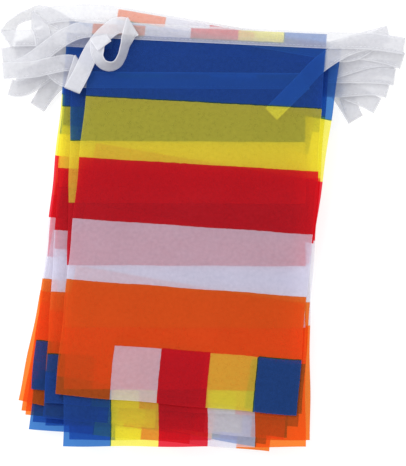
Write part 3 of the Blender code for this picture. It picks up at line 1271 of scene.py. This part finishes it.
def grid_mesh(
    name: str,
    rows: Sequence[Sequence[Vector]],
    maps: dict[str, Callable[[int, int], tuple[float, float]]],
    masks: dict[str, Callable[[int, int], float]],
    material: bpy.types.Material,
) -> bpy.types.Object:
    """Makes an open sheet from rows of points.

    Args:
        name: The piece's name.
        rows: The points, in the tables' frame.
        maps: For each UV map, its place for a row and a column.
        masks: For each attribute, its value for them.
        material: The cloth.

    Returns:
        The piece, at the origin.
    """
    across = len(rows[0])
    mesh = bpy.data.meshes.new(name)
    points = [p - MIDDLE for row in rows for p in row]
    faces = []
    for v in range(len(rows) - 1):
        for u in range(across - 1):
            first = v * across + u
            faces.append((first, first + 1, first + across + 1, first + across))
    mesh.from_pydata(points, [], faces)
    for label, place in maps.items():
        layer = mesh.uv_layers.new(name=label)
        for loop in mesh.loops:
            v, u = divmod(loop.vertex_index, across)
            layer.data[loop.index].uv = place(v, u)
    for label, value in masks.items():
        attribute = mesh.attributes.new(label, "FLOAT", "POINT")
        for k in range(len(points)):
            attribute.data[k].value = value(*divmod(k, across))
    mesh.shade_smooth()
    mesh.materials.append(material)
    piece = bpy.data.objects.new(name, mesh)
    bpy.context.scene.collection.objects.link(piece)
    return piece


@dataclass
class FlagPanel:
    """One flag, cut from sheer printed cloth.

    Attributes:
        number: Its place in the stack, 1 on top.
        spot: Where it lies.
        route: The tape that it is sewn to.
        flag_print: The print on it.
        tucked: How far it reaches up inside the folded tape.
        cell: The size of its mesh's cells.
        flutter: How much its edges wander.
        flare_deg: How far its sides spread towards the bottom.
        rim: The distances of the finer cells from its edges.
        gather: The height of the gathers below the seam.
        gather_fade: How soon they fade below it.
        free_by: The share of the drop by which the side edges hang free.
        bow_at: The share of the drop where a bowed edge stands out most.
        bow_reach: How far the bow reaches from there.
    """

    number: int
    spot: FlagSpot
    route: TapeRoute
    flag_print: FlagPrint
    tucked: float = 0.0086
    cell: float = 0.0024
    flutter: float = 0.00025
    flare_deg: float = 1.4
    rim: tuple[float, ...] = (0.00035, 0.0009, 0.0020)
    gather: float = 0.00010
    gather_fade: float = 0.011
    free_by: float = 0.15
    bow_at: float = 0.41
    bow_reach: float = 0.16

    @property
    def face(self) -> Face:
        """The face that is up."""
        return Face.FRONT if self.number % 2 else Face.BACK

    @property
    def name(self) -> str:
        """The piece's name."""
        return f"flag_cloth_{self.number:02d}"

    def corners(self) -> tuple[Vector, Vector, Vector, Vector]:
        """The corners in plan: top left, top right, bottom right, bottom left."""
        top_left, top_right = self.route.top_edge(self.spot)
        side, flare = math.radians(self.spot.side_deg), math.radians(self.flare_deg) / 2
        left_edge = Vector((math.sin(side + flare), math.cos(side + flare)))
        right_edge = Vector((math.sin(side - flare), math.cos(side - flare)))
        bottom_left = top_left - left_edge * self.spot.drop_left
        bottom_right = top_right - right_edge * self.spot.drop_right
        return top_left, top_right, bottom_right, bottom_left

    def pucker(self, s: float, down: float) -> float:
        """The small gathers that the seam makes, fading below it."""
        fade = math.exp(-max(down, 0.0) / self.gather_fade)
        wave = math.sin(s * 190.0 + self.number) + 0.6 * math.sin(s * 111.0 + 2.0)
        return self.gather * wave * fade

    def place(self, s: float, down: float) -> Vector:
        """A point of the cloth.

        Args:
            s: The share of the width, from the left.
            down: The distance below the tape.

        Returns:
            The point, in the tables' frame.
        """
        top_left, top_right, bottom_right, bottom_left = self.corners()
        t = down / self.spot.drop
        left = top_left.lerp(bottom_left, t)
        right = top_right.lerp(bottom_right, t)
        point = left.lerp(right, s)
        seed = self.number * 1.7
        free = smooth_step(t, 0.0, self.free_by)
        point.x += self.flutter * free * (
            (1 - s) * math.sin(31.0 * t + seed) + s * math.sin(27.0 * t + 2.0 * seed)
        )
        point.y += self.flutter * t * math.sin(17.0 * s + seed)
        bow = bump(t, 0.0, (self.bow_at, 0.0, self.spot.bow), (self.bow_reach, 1.0))
        point.x += bow * s * s
        z = self.route.stack.flag_height(self.number, point.x, point.y)
        return Vector((point.x, point.y, z + self.pucker(s, down)))

    def build(self, finishes: Finishes) -> bpy.types.Object:
        """Makes the cloth.

        Args:
            finishes: The materials.

        Returns:
            The piece.
        """
        width = self.flag_print.width
        across = even_lines(0.0, width, self.cell, self.rim)
        downward = even_lines(-self.tucked, self.spot.drop, self.cell, self.rim)
        rows = [[self.place(a / width, d) for a in across] for d in downward]

        def print_place(v: int, u: int) -> tuple[float, float]:
            share = across[u] / width
            front = share if self.face is Face.FRONT else 1.0 - share
            x = front - self.spot.column_shift / width
            y = (downward[v] + self.spot.blue_under) / self.flag_print.repeat
            return x, 1.0 - y

        def edge_mm(v: int, u: int) -> float:
            sides = min(across[u], width - across[u])
            ends = min(downward[v] - downward[0], downward[-1] - downward[v])
            return 1000.0 * min(sides, ends)

        last = len(rows) - 1
        piece = grid_mesh(
            self.name,
            rows[::-1],
            {"print": lambda v, u: print_place(last - v, u)},
            {"edge": lambda v, u: edge_mm(last - v, u)},
            finishes.flag,
        )
        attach(piece, "root")
        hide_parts(f"flag_{self.number:02d}")
        log.info("%s: %s up, %d faces", piece.name, self.face.value, len(piece.data.polygons))
        return piece

    def declare(self, piece: bpy.types.Object, below: Sequence[str]) -> None:
        """Takes the piece and what it lies on, and does nothing.

        Args:
            piece: The cloth. Not used.
            below: The names of what it lies on. Not used.
        """


@dataclass
class BindingTape:
    """The one tape, folded lengthwise round the flags' top edges.

    Attributes:
        route: The way it runs.
        layer_gap: The distance between its two layers.
        layer_cells: The cells across each layer.
        crushed_to: How far from its curled end the tape is crushed and dense.
        even_from: The distance from which it is as sheer as the rest.
        flat_share: The share of the width where its two layers lie flat.
        lip_cell: The share of the width of the cell along its edges.
        lip_share: How far the front layer ends inside the back one.
        name: The piece's name.
    """

    route: TapeRoute
    layer_gap: float = 0.00060
    layer_cells: int = 6
    crushed_to: float = 0.100
    even_from: float = 0.135
    flat_share: float = 0.96
    lip_cell: float = 0.07
    lip_share: float = 0.02
    name: str = "tape_cloth"

    def section(self) -> list[tuple[float, float]]:
        """The folded section: the way from lip to fold, and the side of the middle.

        Returns:
            For each point, the share of the width and -1 to 1.
        """
        cells = self.layer_cells
        flat = [self.flat_share * k / cells for k in range(cells + 1)]
        flat.insert(1, self.lip_cell)
        bend = [(0.985, 0.75), (1.0, 0.0), (0.985, -0.75)]
        front = [(f + self.lip_share * (1 - f), 1.0) for f in flat]
        back = [(f, -1.0) for f in reversed(flat)]
        return [*front, *bend, *back]

    def normals(self) -> list[Vector]:
        """The direction out of the tape's front, at each step."""
        steps = self.route.steps
        middles = [(s.lip + s.fold) / 2 for s in steps]
        found = []
        for k, step in enumerate(steps):
            ahead = middles[min(k + 1, len(steps) - 1)]
            way = ahead - middles[max(k - 1, 0)]
            found.append(way.cross(step.lip - step.fold).normalized())
        return found

    def rows(self) -> list[list[Vector]]:
        """The points of the whole strip, step by step."""
        section = self.section()
        rows = []
        for step, normal in zip(self.route.steps, self.normals()):
            half = normal * (self.layer_gap / 2)
            rows.append([step.lip.lerp(step.fold, f) + half * side for f, side in section])
        return rows

    def build(self, finishes: Finishes) -> bpy.types.Object:
        """Makes the strip.

        Args:
            finishes: The materials.

        Returns:
            The piece.
        """
        rows = self.rows()
        middles = [(s.lip + s.fold) / 2 for s in self.route.steps]
        along = [0.0]
        for a, b in zip(middles, middles[1:]):
            along.append(along[-1] + (b - a).length)
        shares = [f / 2 if side > 0 else 1 - f / 2 for f, side in self.section()]
        flat_mm = 2000.0 * self.route.width

        def cloth_place(v: int, u: int) -> tuple[float, float]:
            return shares[u], along[v] / along[-1]

        def edge_mm(v: int, u: int) -> float:
            share = shares[u]
            return flat_mm * min(share, 1.0 - share, abs(share - 0.5))

        def crush(v: int, u: int) -> float:
            return 1.0 - smooth_step(along[v], self.crushed_to, self.even_from)

        masks = {"edge": edge_mm, "crush": crush}
        piece = grid_mesh(self.name, rows, {"cloth": cloth_place}, masks, finishes.tape)
        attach(piece, "root")
        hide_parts("tape")
        log.info("%s: %.2f m long, %d faces", piece.name, along[-1], len(piece.data.polygons))
        return piece


@dataclass
class SeamStitches:
    """The row of stitches that closes the folded tape, on both of its faces.

    Attributes:
        tape: The tape.
        inset: The share of the tape's width from its lip to the seam.
        pitch: The distance from one stitch to the next.
        length: A stitch's length.
        thread: The thread's radius.
        steepest: The slope past which the tape is folded over and has no stitch.
        smallest: The smallest stitch's size against the mean.
        largest: The largest stitch's size.
        seed: The seed of the small differences between stitches.
        name: The piece's name.
    """

    tape: BindingTape
    inset: float = 0.15
    pitch: float = 0.0024
    length: float = 0.0019
    thread: float = 0.00006
    steepest: float = 0.35
    smallest: float = 0.86
    largest: float = 1.08
    seed: int = 7
    name: str = "seam_stitches"

    def lines(self) -> bpy.types.Object:
        """The seam's two lines as a wire, with the way out of the tape."""
        steps, normals = self.tape.route.steps, self.tape.normals()
        points, edges, outs = [], [], []
        for side in (1.0, -1.0):
            first = len(points)
            for step, normal in zip(steps, normals):
                out = normal * side
                middle = step.lip.lerp(step.fold, self.inset)
                points.append(middle + out * (self.tape.layer_gap / 2) - MIDDLE)
                outs.append(out)
            edges += [(k, k + 1) for k in range(first, len(points) - 1)]
        mesh = bpy.data.meshes.new(self.name)
        mesh.from_pydata(points, edges, [])
        attribute = mesh.attributes.new("out", "FLOAT_VECTOR", "POINT")
        for k, out in enumerate(outs):
            attribute.data[k].vector = out
        wire = bpy.data.objects.new(self.name, mesh)
        bpy.context.scene.collection.objects.link(wire)
        return wire

    def tree(self, material: bpy.types.Material) -> bpy.types.NodeTree:
        """The node tree that sets a stitch on each place of the wire.

        Args:
            material: The thread.

        Returns:
            The tree.
        """
        tree = bpy.data.node_groups.new("seam_stitches", "GeometryNodeTree")
        face = tree.interface
        face.new_socket(name="Geometry", in_out="INPUT", socket_type="NodeSocketGeometry")
        for label in ("Pitch", "Length", "Thread", "Steepest"):
            face.new_socket(name=label, in_out="INPUT", socket_type="NodeSocketFloat")
        face.new_socket(name="Seed", in_out="INPUT", socket_type="NodeSocketInt")
        face.new_socket(name="Geometry", in_out="OUTPUT", socket_type="NodeSocketGeometry")
        desk = NodeDesk(tree)
        start = desk.add("NodeGroupInput").outputs
        curve = desk.add("GeometryNodeMeshToCurve", {"Mesh": start["Geometry"]})
        even = desk.add(
            "GeometryNodeResampleCurve",
            {"Curve": curve.outputs["Curve"], "Length": start["Pitch"]},
            mode="LENGTH",
        )
        ball = desk.add(
            "GeometryNodeMeshUVSphere", {"Segments": 6, "Rings": 4, "Radius": 1.0}
        )
        half = desk.math("MULTIPLY", start["Length"], 0.5)
        size = desk.add(
            "ShaderNodeCombineXYZ", {"X": start["Thread"], "Y": start["Thread"], "Z": half}
        )
        stitch = desk.add(
            "GeometryNodeTransform",
            {"Geometry": ball.outputs["Mesh"], "Scale": size.outputs["Vector"]},
        )
        out = desk.add("GeometryNodeInputNamedAttribute", data_type="FLOAT_VECTOR")
        out.inputs["Name"].default_value = "out"
        tangent = desk.add("GeometryNodeInputTangent")
        turn = desk.add(
            "FunctionNodeAxesToRotation", primary_axis="Z", secondary_axis="X"
        )
        tree.links.new(tangent.outputs["Tangent"], turn.inputs[0])
        tree.links.new(out.outputs["Attribute"], turn.inputs[1])
        axes = desk.add("ShaderNodeSeparateXYZ", {0: tangent.outputs["Tangent"]})
        slope = desk.math("ABSOLUTE", axes.outputs["Z"])
        level = desk.math("LESS_THAN", slope, start["Steepest"])
        vary = desk.add("FunctionNodeRandomValue", data_type="FLOAT")
        named = {s.identifier: s for s in vary.inputs}
        named["Min_001"].default_value = self.smallest
        named["Max_001"].default_value = self.largest
        tree.links.new(start["Seed"], vary.inputs["Seed"])
        scale = next(s for s in vary.outputs if s.identifier == "Value_001")
        placed = desk.add(
            "GeometryNodeInstanceOnPoints",
            {
                "Points": even.outputs["Curve"],
                "Selection": level,
                "Instance": stitch.outputs["Geometry"],
                "Rotation": turn.outputs["Rotation"],
                "Scale": scale,
            },
        )
        real = desk.add(
            "GeometryNodeRealizeInstances", {"Geometry": placed.outputs["Instances"]}
        )
        dressed = desk.add(
            "GeometryNodeSetMaterial",
            {"Geometry": real.outputs["Geometry"], "Material": material},
        )
        end = desk.add("NodeGroupOutput")
        tree.links.new(dressed.outputs["Geometry"], end.inputs["Geometry"])
        return tree

    def build(self, finishes: Finishes) -> bpy.types.Object:
        """Makes the stitches as one plain mesh.

        Args:
            finishes: The materials.

        Returns:
            The piece.
        """
        wire = self.lines()
        tree = self.tree(finishes.thread)
        modifier = wire.modifiers.new("Stitches", "NODES")
        modifier.node_group = tree
        values = {
            "Pitch": self.pitch,
            "Length": self.length,
            "Thread": self.thread,
            "Steepest": self.steepest,
            "Seed": self.seed,
        }
        for item in tree.interface.items_tree:
            if item.in_out == "INPUT" and item.name in values:
                modifier[item.identifier] = values[item.name]
        bpy.context.view_layer.update()
        graph = bpy.context.evaluated_depsgraph_get()
        mesh = bpy.data.meshes.new_from_object(wire.evaluated_get(graph))
        bpy.data.objects.remove(wire, do_unlink=True)
        mesh.name = self.name
        piece = bpy.data.objects.new(self.name, mesh)
        bpy.context.scene.collection.objects.link(piece)
        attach(piece, "root")
        log.info("%s: %d faces", piece.name, len(mesh.polygons))
        return piece


@dataclass
class Studio:
    """The floor, the light and the camera.

    Attributes:
        mm_per_pixel: The size of a pixel on the top flag.
        frame_px: The picture's width and height.
        centre_px: The pixel at the tables' origin.
        distance: The camera's height above the top flag.
        floor_reach: Half the floor's side.
        floor_gap: The space between the floor and the cloth.
        sky_colour: The colour of the even light from all sides.
        sky_strength: How strong it is.
        lamp_size: The soft lamp's side.
        lamp_power: Its power.
        lamp_place: Where it stands.
    """

    mm_per_pixel: float = 0.577
    frame_px: tuple[int, int] = (406, 466)
    centre_px: tuple[float, float] = (203.5, 229.0)
    distance: float = 2.5
    floor_reach: float = 3.0
    floor_gap: float = 0.0002
    sky_colour: Colour = (0.97, 0.98, 1.0)
    sky_strength: float = 0.77
    lamp_size: float = 1.0
    lamp_power: float = 14.4
    lamp_place: Triple = (-0.55, 0.65, 1.25)

    def build(self, finishes: Finishes, top: float) -> None:
        """Makes all of it.

        Args:
            finishes: The materials.
            top: The height of the top flag.
        """
        self.lay_floor(finishes)
        self.set_lights()
        self.set_camera(top)

    def lay_floor(self, finishes: Finishes) -> None:
        """Lays the floor."""
        mesh = bpy.data.meshes.new("floor")
        grid = bmesh.new()
        bmesh.ops.create_grid(grid, x_segments=1, y_segments=1, size=self.floor_reach)
        for vertex in grid.verts:
            vertex.co.z = -self.floor_gap
        grid.to_mesh(mesh)
        grid.free()
        mesh.materials.append(finishes.floor)
        floor = bpy.data.objects.new("floor", mesh)
        bpy.context.scene.collection.objects.link(floor)

    def set_lights(self) -> None:
        """Sets an even pale sky and one large soft lamp."""
        world = bpy.data.worlds.new("studio")
        world.use_nodes = True
        sky = world.node_tree.nodes["Background"]
        sky.inputs["Color"].default_value = (*self.sky_colour, 1.0)
        sky.inputs["Strength"].default_value = self.sky_strength
        bpy.context.scene.world = world
        lamp = bpy.data.lights.new("soft_lamp", "AREA")
        lamp.size = self.lamp_size
        lamp.energy = self.lamp_power
        holder = bpy.data.objects.new("soft_lamp", lamp)
        holder.location = self.lamp_place
        holder.rotation_euler = (-holder.location).to_track_quat("-Z", "Y").to_euler()
        bpy.context.scene.collection.objects.link(holder)

    def set_camera(self, top: float) -> None:
        """Sets the camera straight above the stack.

        Args:
            top: The height of the top flag.
        """
        camera = bpy.data.cameras.new("camera")
        camera.sensor_width = 36.0
        scale = self.mm_per_pixel / 1000.0
        long_side = max(self.frame_px) * scale
        camera.lens = camera.sensor_width * self.distance / long_side
        camera.clip_end = 20.0
        holder = bpy.data.objects.new("camera", camera)
        x = (self.frame_px[0] / 2 - self.centre_px[0]) * scale
        y = (self.centre_px[1] - self.frame_px[1] / 2) * scale
        holder.location = (x - MIDDLE.x, y - MIDDLE.y, top + self.distance)
        bpy.context.scene.collection.objects.link(holder)
        bpy.context.scene.camera = holder


def main() -> None:
    """Builds every piece, then the studio."""
    logging.basicConfig(level=logging.INFO, format="%(name)s: %(message)s")
    stack = Stack()
    route = TapeRoute(stack)
    route.lay()
    finishes = Finishes(tape_length=route.length(), tape_width=2 * route.width)
    panels, pieces = [], []
    for number, spot in enumerate(FLAG_SPOTS, start=1):
        panel = FlagPanel(number, spot, route, finishes.flag_print)
        panels.append(panel)
        pieces.append(panel.build(finishes))
    for panel, piece, below in zip(panels, pieces, [*pieces[1:], None]):
        panel.declare(piece, [] if below is None else [below.name])
    tape = BindingTape(route)
    strip = tape.build(finishes)
    stitches = SeamStitches(tape).build(finishes)
    route.length()
    Studio().build(finishes, stack.flag_height(1, 0.0, 0.0))
    scene = bpy.context.scene
    scene.view_settings.view_transform = "Standard"
    scene.cycles.transparent_max_bounces = PASSED_LAYERS


if __name__ == "__main__":
    main()
